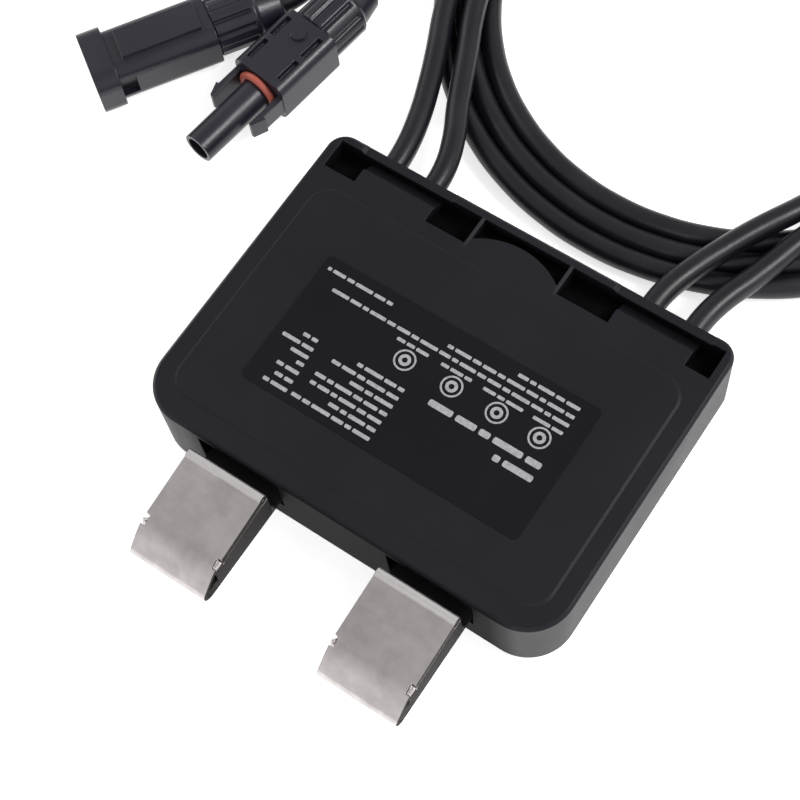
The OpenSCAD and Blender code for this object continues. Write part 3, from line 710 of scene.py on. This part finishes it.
def softened(
    node: str,
    width: float,
    segments: int = 2,
    sharp: float = 28,
    flat: float = 0.6,
    weld: float = 0.002,
) -> BMesh:
    """Copies a CAD node's shape and rounds its edges.

    Args:
        node: the CAD node.
        width: the rounding's width in millimetres.
        segments: the faces across each rounded edge.
        sharp: the least angle, in degrees, of an edge that is rounded.
        flat: the angle, in degrees, up to which faces are joined first.
        weld: the distance, in millimetres, up to which points are joined first.

    Returns:
        The rounded shape, in metres.
    """
    bm = bmesh.new()
    bm.from_mesh(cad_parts[node].data)
    bmesh.ops.remove_doubles(bm, verts=bm.verts, dist=weld * MM)
    bmesh.ops.dissolve_limit(bm, angle_limit=math.radians(flat), verts=bm.verts, edges=bm.edges)
    least = math.radians(sharp)
    edges = [e for e in bm.edges if len(e.link_faces) == 2 and e.calc_face_angle(0) > least]
    bmesh.ops.bevel(
        bm,
        geom=edges,
        offset=width * MM,
        offset_type="OFFSET",
        affect="EDGES",
        segments=segments,
        profile=0.5,
        material=-1,
        clamp_overlap=False,
    )
    return bm


def add_softened(name: str, node: str, width: float, finish: Finish) -> Object:
    """Puts a CAD node with rounded edges into the scene.

    Args:
        name: the piece's name.
        node: the CAD node that it stands for.
        width: the rounding's width in millimetres.
        finish: what it is made of.

    Returns:
        The new object.
    """
    return add_piece(name, mesh_from(softened(node, width), name), finish, [node])


@dataclass
class Studio:
    """Camera at the photograph's place, pale floor and soft light; lengths are in metres."""

    camera_at: Point = (0.11405, -0.13396, 0.40649)
    right: Point = (0.82622, 0.55875, -0.07181)
    up: Point = (-0.48985, 0.77552, 0.39827)
    back: Point = (0.27822, -0.29388, 0.91446)
    lens: float = 80.33
    sensor: float = 36
    clip_start: float = 0.01
    floor_size: float = 6.0
    floor_z: float = -0.0002
    floor_grey: float = 0.86
    floor_white: float = 0.68
    horizon: float = 0.78
    zenith: float = 0.48
    zenith_from: float = 0.9
    lamp_aim: Point = (0, 0.03, 0)
    # Lamps: name, place, side and power in watts
    LAMPS = (
        ("right_softbox", (0.9, 0.5, 1.1), 0.5, 12.0),
        ("front_softbox", (0.5, -1.2, 1.0), 0.7, 3.0),
        ("left_softbox", (-1.2, 0.1, 0.8), 0.6, 3.0),
    )
    # Rays that see the floor lit up
    RAYS = ("Is Camera Ray", "Is Glossy Ray", "Is Transmission Ray")

    def build(self) -> None:
        """Makes the camera, floor, world and lamps."""
        bpy.context.scene.view_settings.view_transform = "Standard"
        self.camera()
        self.floor()
        self.world()
        for lamp in self.LAMPS:
            self.lamp(*lamp)

    def camera(self) -> None:
        """Makes the camera."""
        data = bpy.data.cameras.new("photo_camera")
        data.lens = self.lens
        data.sensor_width = self.sensor
        data.sensor_fit = "HORIZONTAL"
        data.clip_start = self.clip_start
        camera = put_in("photo_camera", data)
        turn = Matrix((self.right, self.up, self.back)).transposed().to_4x4()
        camera.matrix_world = Matrix.Translation(self.camera_at) @ turn
        bpy.context.scene.camera = camera

    def floor(self) -> None:
        """Makes the white floor, which keeps a soft shadow."""
        bm = bmesh.new()
        bmesh.ops.create_grid(bm, x_segments=1, y_segments=1, size=self.floor_size / 2)
        bmesh.ops.translate(bm, verts=bm.verts, vec=(0, 0, self.floor_z))
        floor = put_in("floor", mesh_from(bm, "floor"))
        g = Graph("floor_white")
        first, second, third = (g.node("ShaderNodeLightPath", out=kind) for kind in self.RAYS)
        grey = (self.floor_grey, self.floor_grey, self.floor_grey, 1)
        plain = g.node("ShaderNodeBsdfDiffuse", inputs={"Color": grey})
        white = {"Color": (1, 1, 1, 1), "Strength": self.floor_white}
        glow = g.node("ShaderNodeEmission", inputs=white)
        bright = g.node("ShaderNodeAddShader", inputs={0: plain, 1: glow})
        floor.data.materials.append(g.finish(g.mixed(first + second + third, plain, bright)))

    def world(self) -> None:
        """Makes an even world, brighter low down than overhead."""
        g = Graph("studio", world=True)
        around = g.node("ShaderNodeTexCoord", out="Generated")
        height = g.node("ShaderNodeSeparateXYZ", inputs={0: around}, out="Z")
        spread = {"From Max": self.zenith_from, "To Min": self.horizon, "To Max": self.zenith}
        level = g.node("ShaderNodeMapRange", inputs={"Value": height, **spread}, out="Result")
        sky = g.node("ShaderNodeBackground", inputs={"Color": (1, 1, 1, 1), "Strength": level})
        bpy.context.scene.world = g.finish(sky)

    def lamp(self, name: str, place: Point, size: float, power: float) -> None:
        """Makes one square soft lamp that faces the object.

        Args:
            name: the lamp's name.
            place: where it hangs.
            size: its side.
            power: its power in watts.
        """
        data = bpy.data.lights.new(name, "AREA")
        data.size = size
        data.energy = power
        lamp = put_in(name, data)
        lamp.location = place
        sight = Vector(self.lamp_aim) - Vector(place)
        lamp.rotation_euler = sight.to_track_quat("-Z", "Y").to_euler()


@dataclass
class Leads:
    """Four leads. The right pair winds a flat coil behind the case; the left pair ends inside it."""

    connectors: dict[str, list[Object]]
    diameter: float = COIL_HIGH[Z] - COIL_LOW[Z]
    case_rear: float = CASE_HIGH[Y]
    exit_z: float = 11
    coil_x: float = 8
    coil_y: float = 141
    coil_r: float = 70.7
    arc_steps: int = 18
    round_steps: int = 6
    knot_steps: int = 5

    ROUTE_1 = (
        (-44, 30.5, 11), (-44, 43.5, 11), (-44.6, 52, 11), (-47, 62, 10.5), (-50.6, 72, 9.9),
        (-55, 82.5, 9.5), (-60.4, 94.4, 9.5), (-63.6, 104, 9.5), (-65, 114, 9.5), (-66, 124, 9.5),
        (-66.4, 138, 9.5), (-66, 151, 9.5), (-63.9, 161.3, 9.5), (-58.1, 170.1, 9.5),
        (-49.3, 175.9, 9.2), (-38, 178, 8), (-30, 178, 8),
    )
    ROUTE_2 = (
        (-32, 30.5, 11), (-32, 43.5, 11), (-32.6, 52, 11), (-35.8, 61.5, 10.5), (-40.7, 71, 10),
        (-47, 84.5, 9.5), (-53.6, 98.5, 9.5), (-55.7, 105, 9.5), (-55.9, 113, 9.5),
        (-53.9, 123.2, 9.3), (-48.1, 131.7, 8.6), (-39.317, 137.273, 8), (-31.848, 140.14, 8),
    )
    START_3 = (
        (32, 30.5, 11), (32, 43.5, 11), (32.6, 52, 11), (35, 61, 10.4), (38, 69, 9.8),
        (43, 80, 9.5), (48.5, 90.5, 8.8), (54, 104, 5.6), (60, 118, 3.5), (64.6, 131, 3.1),
    )
    START_4 = (
        (44, 30.5, 11), (44, 43.5, 11), (44.4, 51, 11), (46, 58.5, 10.7), (48.5, 66, 10),
        (50.8, 73.5, 9.6), (53.3, 82, 9.5), (57.5, 93, 9.4), (61.8, 105, 7.9), (67, 118, 4.6),
        (70.9, 131, 3.2),
    )
    END_3 = (
        (-88.2, 130, 3.5), (-90.4, 119, 4.4), (-93.2, 108, 5.7), (-95.4, 98, 6.9),
        (-96.6, 89, 7.7), (-99.07, 76.88, 8), (-102.98, 71.08, 8),
    )
    END_4 = (
        (-82, 130, 3.6), (-82.5, 118, 5), (-82.5, 106, 6.9), (-82.9, 93.63, 8), (-84.01, 85.71, 8),
    )

    def build(self) -> None:
        """Makes the four leads."""
        self.lead("input_lead_1", self.ROUTE_1, ["lead_1"])
        self.lead("input_lead_2", self.ROUTE_2, ["lead_2"])
        turns_3 = [*self.half(False, 0), *self.half(True, 0), *self.half(False, 2), *self.half(True, 2)]
        points_3 = [*self.START_3, *turns_3, *self.half(False, 4), self.left_end(4), *self.END_3]
        nodes_3 = ["lead_3_start", "lead_3_end", "lead_coil"]
        self.lead("output_lead_3", points_3, nodes_3)
        turns_4 = [*self.half(False, 1), *self.half(True, 1), *self.half(False, 3)]
        points_4 = [*self.START_4, *turns_4, self.left_end(3), *self.END_4]
        self.lead("output_lead_4", points_4, ["lead_4_start", "lead_4_end"])

    def half(self, front: bool, strand: int) -> list[Point]:
        """Points of one half turn, counter-clockwise.

        Args:
            front: the half nearer the case, or else the rear half, whose middle lies one strand
                to the left.
            strand: the strand's number, counted from the innermost of that half.

        Returns:
            The half's points in millimetres, without its last one.
        """
        middle = self.coil_x if front else self.coil_x - self.diameter
        radius = self.coil_r + self.diameter * (strand if front else strand - 1)
        begin = math.pi if front else 0.0
        points = []
        for i in range(self.arc_steps):
            turn = begin + math.pi * i / self.arc_steps
            x = middle + radius * math.cos(turn)
            points.append((x, self.coil_y + radius * math.sin(turn), self.diameter / 2))
        return points

    def left_end(self, strand: int) -> Point:
        """Where a strand of the rear half leaves the coil, at its left."""
        radius = self.coil_r + self.diameter * (strand - 1)
        return (self.coil_x - self.diameter - radius, self.coil_y, self.diameter / 2)

    def lead(
        self, name: str, points: Sequence[Point], nodes: Sequence[str]
    ) -> None:
        """Args:
            name: the piece's name.
            points: the route in millimetres.
            nodes: the CAD nodes that it stands for.
        """
        curve = bpy.data.curves.new(name, "CURVE")
        curve.dimensions = "3D"
        curve.bevel_depth = self.diameter / 2 * MM
        curve.bevel_resolution = self.round_steps
        curve.resolution_u = self.knot_steps
        curve.use_fill_caps = True
        spline = curve.splines.new("BEZIER")
        spline.bezier_points.add(len(points) - 1)
        for knot, point in zip(spline.bezier_points, points):
            knot.co = Vector(point) * MM
            knot.handle_left_type = knot.handle_right_type = "AUTO"
        piece = add_piece(name, curve, Finish.JACKET, nodes)
        [v * MM for v in (points[0][0], self.case_rear, self.exit_z)]
        self.diameter * MM


@dataclass
class Case:
    """Case moulding, back plate, the parts inside and the coil's tie; lengths are in millimetres."""

    edge: float = 0.18
    plate_edge: float = 0.25
    border_z: float = CASE_HIGH[Z] - 0.4
    lean: float = 0.9
    # Nodes that keep their shape
    plain: tuple[tuple[str, Finish], ...] = (
        ("plate_gasket", Finish.RUBBER), ("inductor_winding", Finish.COPPER),
        ("filter_choke", Finish.COPPER), ("thermal_pad", Finish.PAD),
        ("lead_terminals", Finish.COPPER),
        *((f"lead_seal_{number}", Finish.RUBBER) for number in range(1, 5)),
    )
    # Nodes whose edges are rounded, and by how much
    rounded: tuple[tuple[str, Finish, float], ...] = (
        ("circuit_board", Finish.BOARD, 0.15), ("inductor_core", Finish.FERRITE, 0.3),
        ("input_capacitors", Finish.CAPACITOR, 0.5), ("output_capacitors", Finish.CAPACITOR, 0.5),
        ("power_transistors", Finish.CHIP, 0.2), ("bypass_diode", Finish.CHIP, 0.25),
        ("controller_chip", Finish.CHIP, 0.12), ("signal_transformer", Finish.CAPACITOR, 0.4),
        ("coil_tie", Finish.TIE, 0.25),
    )

    def build(self) -> None:
        """Makes the case, the parts inside it and the tie."""
        for node, finish in self.plain:
            dress_node(node, finish)
        for node, finish, edge in self.rounded:
            add_softened(f"{node}_part", node, edge, finish)
        shell = softened("case_shell", self.edge)
        self.slope_step(shell)
        add_piece("case_moulding", mesh_from(shell, "case_moulding"), Finish.CASE, ["case_shell"])
        add_softened("heat_plate", "back_plate", self.plate_edge, Finish.PLATE)

    def slope_step(self, bm: BMesh) -> None:
        """Leans the step round the raised face inwards.

        Args:
            bm: the case, in metres.
        """
        for vert in bm.verts:
            inset = self.lean * max(vert.co.z - self.border_z * MM, 0)
            vert.co.x -= math.copysign(inset, vert.co.x)
            vert.co.y -= math.copysign(inset, vert.co.y)


@dataclass
class PlateScrews:
    """Four countersunk screws with hexagon sockets in the back plate."""

    side_x: float = CASE_HIGH[X] - 7
    front_y: float = -20
    rear_y: float = 22
    head_r: float = 2.7
    shank_r: float = 1.5
    head_h: float = 1.1
    length: float = 9.0
    socket_r: float = 1.25
    socket_depth: float = 0.8
    socket_sides: int = 6
    sides: int = 36

    def build(self) -> None:
        """Makes the four screws as one piece."""
        bm = bmesh.new()
        for y in (self.front_y, self.rear_y):
            for x in (-self.side_x, self.side_x):
                self.screw(bm, x, y)
        in_metres(bm)
        add_piece("plate_screw_set", mesh_from(bm, "plate_screw_set"), Finish.SCREW, ["plate_screws"])

    def screw(self, bm: BMesh, x: float, y: float) -> None:
        """Adds one screw, its head down at z 0.

        Args:
            bm: the shape that it joins.
            x: its place.
            y: its place.
        """
        corners = self.loop(bm, self.socket_sides, self.socket_r)
        cuts = self.sides // self.socket_sides - 1
        cut = bmesh.ops.subdivide_edges(bm, edges=corners, cuts=cuts)["geom"]
        found = dict.fromkeys([*cut, *corners])
        inner = [e for e in found if isinstance(e, BMEdge) and e.is_valid]
        outer = self.loop(bm, self.sides, self.head_r)
        face = bmesh.ops.bridge_loops(bm, edges=inner + outer)["edges"]
        well = self.drop(bm, inner, 1.0, self.socket_depth)
        bmesh.ops.edgeloop_fill(bm, edges=well)
        neck = self.drop(bm, outer, self.shank_r / self.head_r, self.head_h)
        tip = self.drop(bm, neck, 1.0, self.length - self.head_h)
        bmesh.ops.edgeloop_fill(bm, edges=tip)
        verts = dict.fromkeys(v for e in [*face, *well, *neck, *tip] for v in e.verts)
        bmesh.ops.translate(bm, verts=list(verts), vec=(x, y, 0))

    def loop(self, bm: BMesh, sides: int, radius: float) -> list[BMEdge]:
        """Adds a closed loop round the origin.

        Args:
            bm: the shape that it joins.
            sides: how many edges it has.
            radius: its radius.

        Returns:
            The loop's edges.
        """
        turn = Matrix.Rotation(math.pi / self.socket_sides, 4, "Z")
        made = bmesh.ops.create_circle(bm, segments=sides, radius=radius, matrix=turn)["verts"]
        return list(dict.fromkeys(e for v in made for e in v.link_edges))

    def drop(
        self, bm: BMesh, edges: Sequence[BMEdge], scale: float, height: float
    ) -> list[BMEdge]:
        """Extrudes a loop upwards and scales its new end.

        Args:
            bm: the shape.
            edges: the loop.
            scale: the new end's size against the loop's.
            height: how far it goes.

        Returns:
            The new loop.
        """
        geom = bmesh.ops.extrude_edge_only(bm, edges=edges)["geom"]
        ends = [v for v in geom if isinstance(v, BMVert)]
        bmesh.ops.scale(bm, verts=ends, vec=(scale, scale, 1))
        bmesh.ops.translate(bm, verts=ends, vec=(0, 0, height))
        return [e for e in geom if isinstance(e, BMEdge)]


@dataclass
class Clips:
    """The two spring clips, folded from one sheet each; lengths are in millimetres."""

    edge: float = 0.12
    knee_y: float = -67.79
    knee_z: float = 18.73
    leaf_slope: float = 8
    ramp_slope: float = 45
    blend: float = 2.0
    cut_gap: float = 0.42
    cuts_each_way: int = 9
    cut_snap: float = 0.01
    sheet: float = 1.5
    middle: float = (CLIP_LOW[X] + CLIP_HIGH[X]) / 2
    notch_at: float = 9
    notch_reach: float = 0.2
    notch_shift: float = 0.85
    notch_half: float = 1.5
    wall: float = 1
    wall_at: float = (CLIP_HIGH[X] - CLIP_LOW[X]) / 2 - wall
    wall_slack: float = 0.01
    rim_from: float = 0.45
    tooth_y: float = -66.19
    tooth_half: float = 1.2
    tip_half: float = 0.4
    tooth_h: float = 3.3

    def build(self) -> None:
        """Makes both clips."""
        for side in ("left", "right"):
            node = f"{side}_frame_clip"
            shape = softened(node, self.edge)
            self.round_knee(shape)
            self.fit_teeth(shape)
            add_piece(f"{side}_clip", mesh_from(shape, f"{side}_clip"), Finish.CLIP, [node])

    def top(self, y: float) -> float:
        """Height of the sheet's upper side at y, with a sharp knee."""
        slope = self.leaf_slope if y > self.knee_y else self.ramp_slope
        return self.knee_z + (y - self.knee_y) * math.tan(math.radians(slope))

    def sag(self, y: float) -> float:
        """Rounds the knee.

        Args:
            y: a place along the sheet.

        Returns:
            How far the rounded knee lies under the sharp one there.
        """
        gain = math.tan(math.radians(self.ramp_slope)) - math.tan(math.radians(self.leaf_slope))
        near = max(self.blend - abs(gain * (y - self.knee_y)), 0) / self.blend
        return near * near * self.blend / 4

    def round_knee(self, bm: BMesh) -> None:
        """Bends the sheet in a curve where the leaf meets the ramp.

        Args:
            bm: the clip, in metres.
        """
        for step in range(-self.cuts_each_way, self.cuts_each_way + 1):
            bmesh.ops.bisect_plane(
                bm,
                geom=bm.verts[:] + bm.edges[:] + bm.faces[:],
                plane_co=(0, (self.knee_y + self.cut_gap * step) * MM, 0),
                plane_no=(0, 1, 0),
                dist=self.cut_snap * MM,
            )
        for vert in bm.verts:
            y, z = vert.co.y / MM, vert.co.z / MM
            if z > self.top(y) - self.sheet:
                vert.co.z -= self.sag(y) * MM

    def fit_teeth(self, bm: BMesh) -> None:
        """Narrows the notches round the side walls' teeth, and raises the teeth to the leaf.

        Args:
            bm: the clip, in metres.
        """
        for vert in bm.verts:
            x, y, z = (v / MM for v in vert.co)
            off = abs(x) - self.middle
            along = abs(y - self.tooth_y)
            level = self.top(y) - self.sag(y)
            at_notch = abs(abs(off) - self.notch_at) < self.notch_reach and along < self.notch_half
            if at_notch and z > level - self.sheet:
                vert.co.x += math.copysign(self.notch_shift * MM, off * x)
            half = self.tooth_half if off * x > 0 else self.tip_half
            at_tooth = abs(off) > self.wall_at - self.wall_slack and along < half
            if at_tooth and z > level - self.tooth_h:
                rim = abs(abs(off) - self.wall_at - self.wall / 2) > self.rim_from
                vert.co.z = (level - self.edge if rim else level) * MM


@dataclass
class Connectors:
    """The four connectors: bodies and nuts with softened edges, and their small parts."""

    body_edge: float = 0.18
    nut_edge: float = 0.25

    def build(self) -> dict[str, list[Object]]:
        """Makes the bodies and nuts and dresses the rest.

        Returns:
            The pieces of each connector, by its name.
        """
        made: dict[str, list[Object]] = {}
        for name in ("socket_1", "pin_2", "socket_3", "pin_4"):
            made[name] = [dress_node(f"{name}_contact", Finish.CONTACT)]
            for part, edge in (("body", self.body_edge), ("nut", self.nut_edge)):
                node = f"{name}_{part}"
                made[name].append(add_softened(f"{node}_moulding", node, edge, Finish.CONNECTOR))
            if name.startswith("pin"):
                made[name].append(dress_node(f"{name}_ring", Finish.RING))
        return made


@dataclass
class Label:
    """Plain dark film on the face, with rows of short bars and plain rings, in millimetres."""

    low: Pair = (-39, -25.5)
    high: Pair = (39, 12.5)
    face_z: float = CASE_HIGH[Z]
    thickness: float = 0.12
    corner: float = 1.5
    corner_steps: int = 5
    ink: float = 0.03
    sink: float = 0.01
    # Against a bar's height
    bar_corner: float = 0.3
    bar_gap: float = 0.55
    bar_squeeze: float = 1.4
    # Against a ring's radius
    band_inner: float = 0.83
    core_outer: float = 0.55
    core_inner: float = 0.25
    ring_steps: int = 36
    weld: float = 0.001
    # Rows of print: right end, height on the face, length, height of the bars
    ROWS = (
        (34.2, 9.8, 17.0, 0.95), (34.2, 7.3, 36.6, 0.95), (34.2, 4.9, 67.6, 0.95),
        (-18.3, 9.2, 19.0, 0.95),
        (34.0, 2.5, 9.2, 0.9), (23.1, 2.5, 12.0, 0.9), (8.8, 2.5, 9.4, 0.9), (-3.4, 2.5, 9.0, 0.9),
        (34.2, -7.2, 31.0, 1.7), (34.2, -10.9, 10.8, 1.7),
        (-3.2, -8.2, 13.4, 1.0), (-3.2, -10.7, 19.8, 1.0), (-3.2, -13.1, 13.2, 1.0),
        (-3.2, -15.5, 20.6, 1.0), (-3.2, -17.9, 20.4, 1.0), (-3.2, -20.3, 13.4, 1.0),
        (-3.2, -22.8, 22.4, 1.0),
        (-28.0, -8.5, 4.2, 1.0), (-27.6, -11.0, 9.8, 1.0), (-27.4, -13.3, 5.4, 1.0),
        (-27.2, -15.5, 3.6, 1.0), (-27.0, -17.9, 6.4, 1.0), (-26.9, -20.5, 5.2, 1.0),
        (-26.8, -23.0, 7.0, 1.0),
    )
    # Rings: middle and radius
    RINGS = ((30.0, -1.2, 2.8), (18.2, -1.2, 2.8), (5.6, -1.2, 2.8), (-7.6, -1.4, 2.8))
    # The bars' lengths, in a cycle
    BARS = (5.4, 3.4, 6.6, 2.4, 4.6, 7.2, 3.0)

    def build(self) -> None:
        """Makes the film, its bars and its rings."""
        film = self.plate(self.low, self.high, self.face_z, self.thickness, self.corner)
        add_piece("label_film", mesh_from(film, "label_film"), Finish.LABEL)
        marks = bmesh.new()
        for number, (right, y, length, height) in enumerate(self.ROWS):
            bottom, top = y - height / 2, y + height / 2
            corner = self.bar_corner * height
            for low, high in self.bars(right, length, height, number):
                bar = self.plate((low, bottom), (high, top), self.print_z, self.ink, corner)
                self.join(marks, bar)
        for x, y, radius in self.RINGS:
            self.join(marks, self.ring(x, y, radius, self.band_inner * radius))
            self.join(marks, self.ring(x, y, self.core_outer * radius, self.core_inner * radius))
        add_piece("label_print", mesh_from(marks, "label_print"), Finish.PRINT)

    @property
    def print_z(self) -> float:
        """The height of the print's underside, just sunk into the film."""
        return self.face_z + self.thickness - self.sink

    def plate(self, low: Pair, high: Pair, z: float, height: float, corner: float) -> BMesh:
        """A thin flat plate with rounded corners.

        Args:
            low: its corner with the least x and y.
            high: its opposite corner.
            z: the height of its underside.
            height: its thickness.
            corner: its corner radius.

        Returns:
            The plate, in metres.
        """
        bm = bmesh.new()
        bmesh.ops.create_grid(bm, x_segments=1, y_segments=1, size=0.5)
        size = (high[0] - low[0], high[1] - low[1], 1)
        middle = ((low[0] + high[0]) / 2, (low[1] + high[1]) / 2, z)
        bmesh.ops.scale(bm, verts=bm.verts, vec=size)
        bmesh.ops.translate(bm, verts=bm.verts, vec=middle)
        bmesh.ops.bevel(
            bm,
            geom=bm.verts[:],
            offset=corner,
            offset_type="OFFSET",
            affect="VERTICES",
            segments=self.corner_steps,
            profile=0.5,
            material=-1,
        )
        raised = bmesh.ops.extrude_face_region(bm, geom=bm.faces[:])
        tops = [v for v in raised["geom"] if isinstance(v, BMVert)]
        bmesh.ops.translate(bm, verts=tops, vec=(0, 0, height))
        in_metres(bm)
        return bm

    def bars(self, right: float, length: float, height: float, number: int) -> list[Pair]:
        """Splits a row into bars.

        Args:
            right: the row's right end.
            length: its length.
            height: the bars' height, which sets the gaps.
            number: the row's number, which sets where the cycle of lengths begins.

        Returns:
            The bars' ends, from right to left.
        """
        left = right - length
        ends, at, step = [], right, number
        while at > left + height:
            size = min(self.BARS[step % len(self.BARS)] * height / self.bar_squeeze, at - left)
            ends.append((at - size, at))
            at -= size + self.bar_gap * height
            step += 1
        return ends

    def ring(self, x: float, y: float, outer: float, inner: float) -> BMesh:
        """A thin flat ring.

        Args:
            x: its middle.
            y: its middle.
            outer: its outer radius.
            inner: its inner radius.

        Returns:
            The ring, in metres.
        """
        bm = bmesh.new()
        low, high = self.print_z, self.print_z + self.ink
        corners = [(outer, low), (outer, high), (inner, high), (inner, low)]
        loop = [bm.verts.new((x + r, y, z)) for r, z in corners]
        edges = [bm.edges.new(pair) for pair in zip(loop, loop[1:] + loop[:1])]
        bmesh.ops.spin(
            bm,
            geom=loop + edges,
            cent=(x, y, 0),
            axis=(0, 0, 1),
            angle=math.tau,
            steps=self.ring_steps,
            use_merge=True,
        )
        bmesh.ops.remove_doubles(bm, verts=bm.verts, dist=self.weld)
        in_metres(bm)
        return bm

    def join(self, target: BMesh, part: BMesh) -> None:
        """Adds a part to a shape.

        Args:
            target: the shape.
            part: the part, which is freed.
        """
        mesh = bpy.data.meshes.new("part")
        part.to_mesh(mesh)
        part.free()
        target.from_mesh(mesh)
        bpy.data.meshes.remove(mesh)


def main() -> None:
    """Builds everything in order."""
    logging.basicConfig(level=logging.INFO, format="%(message)s")
    Studio().build()
    Leads(Connectors().build()).build()
    Case().build()
    PlateScrews().build()
    Clips().build()
    Label().build()


if __name__ == "__main__":
    main()
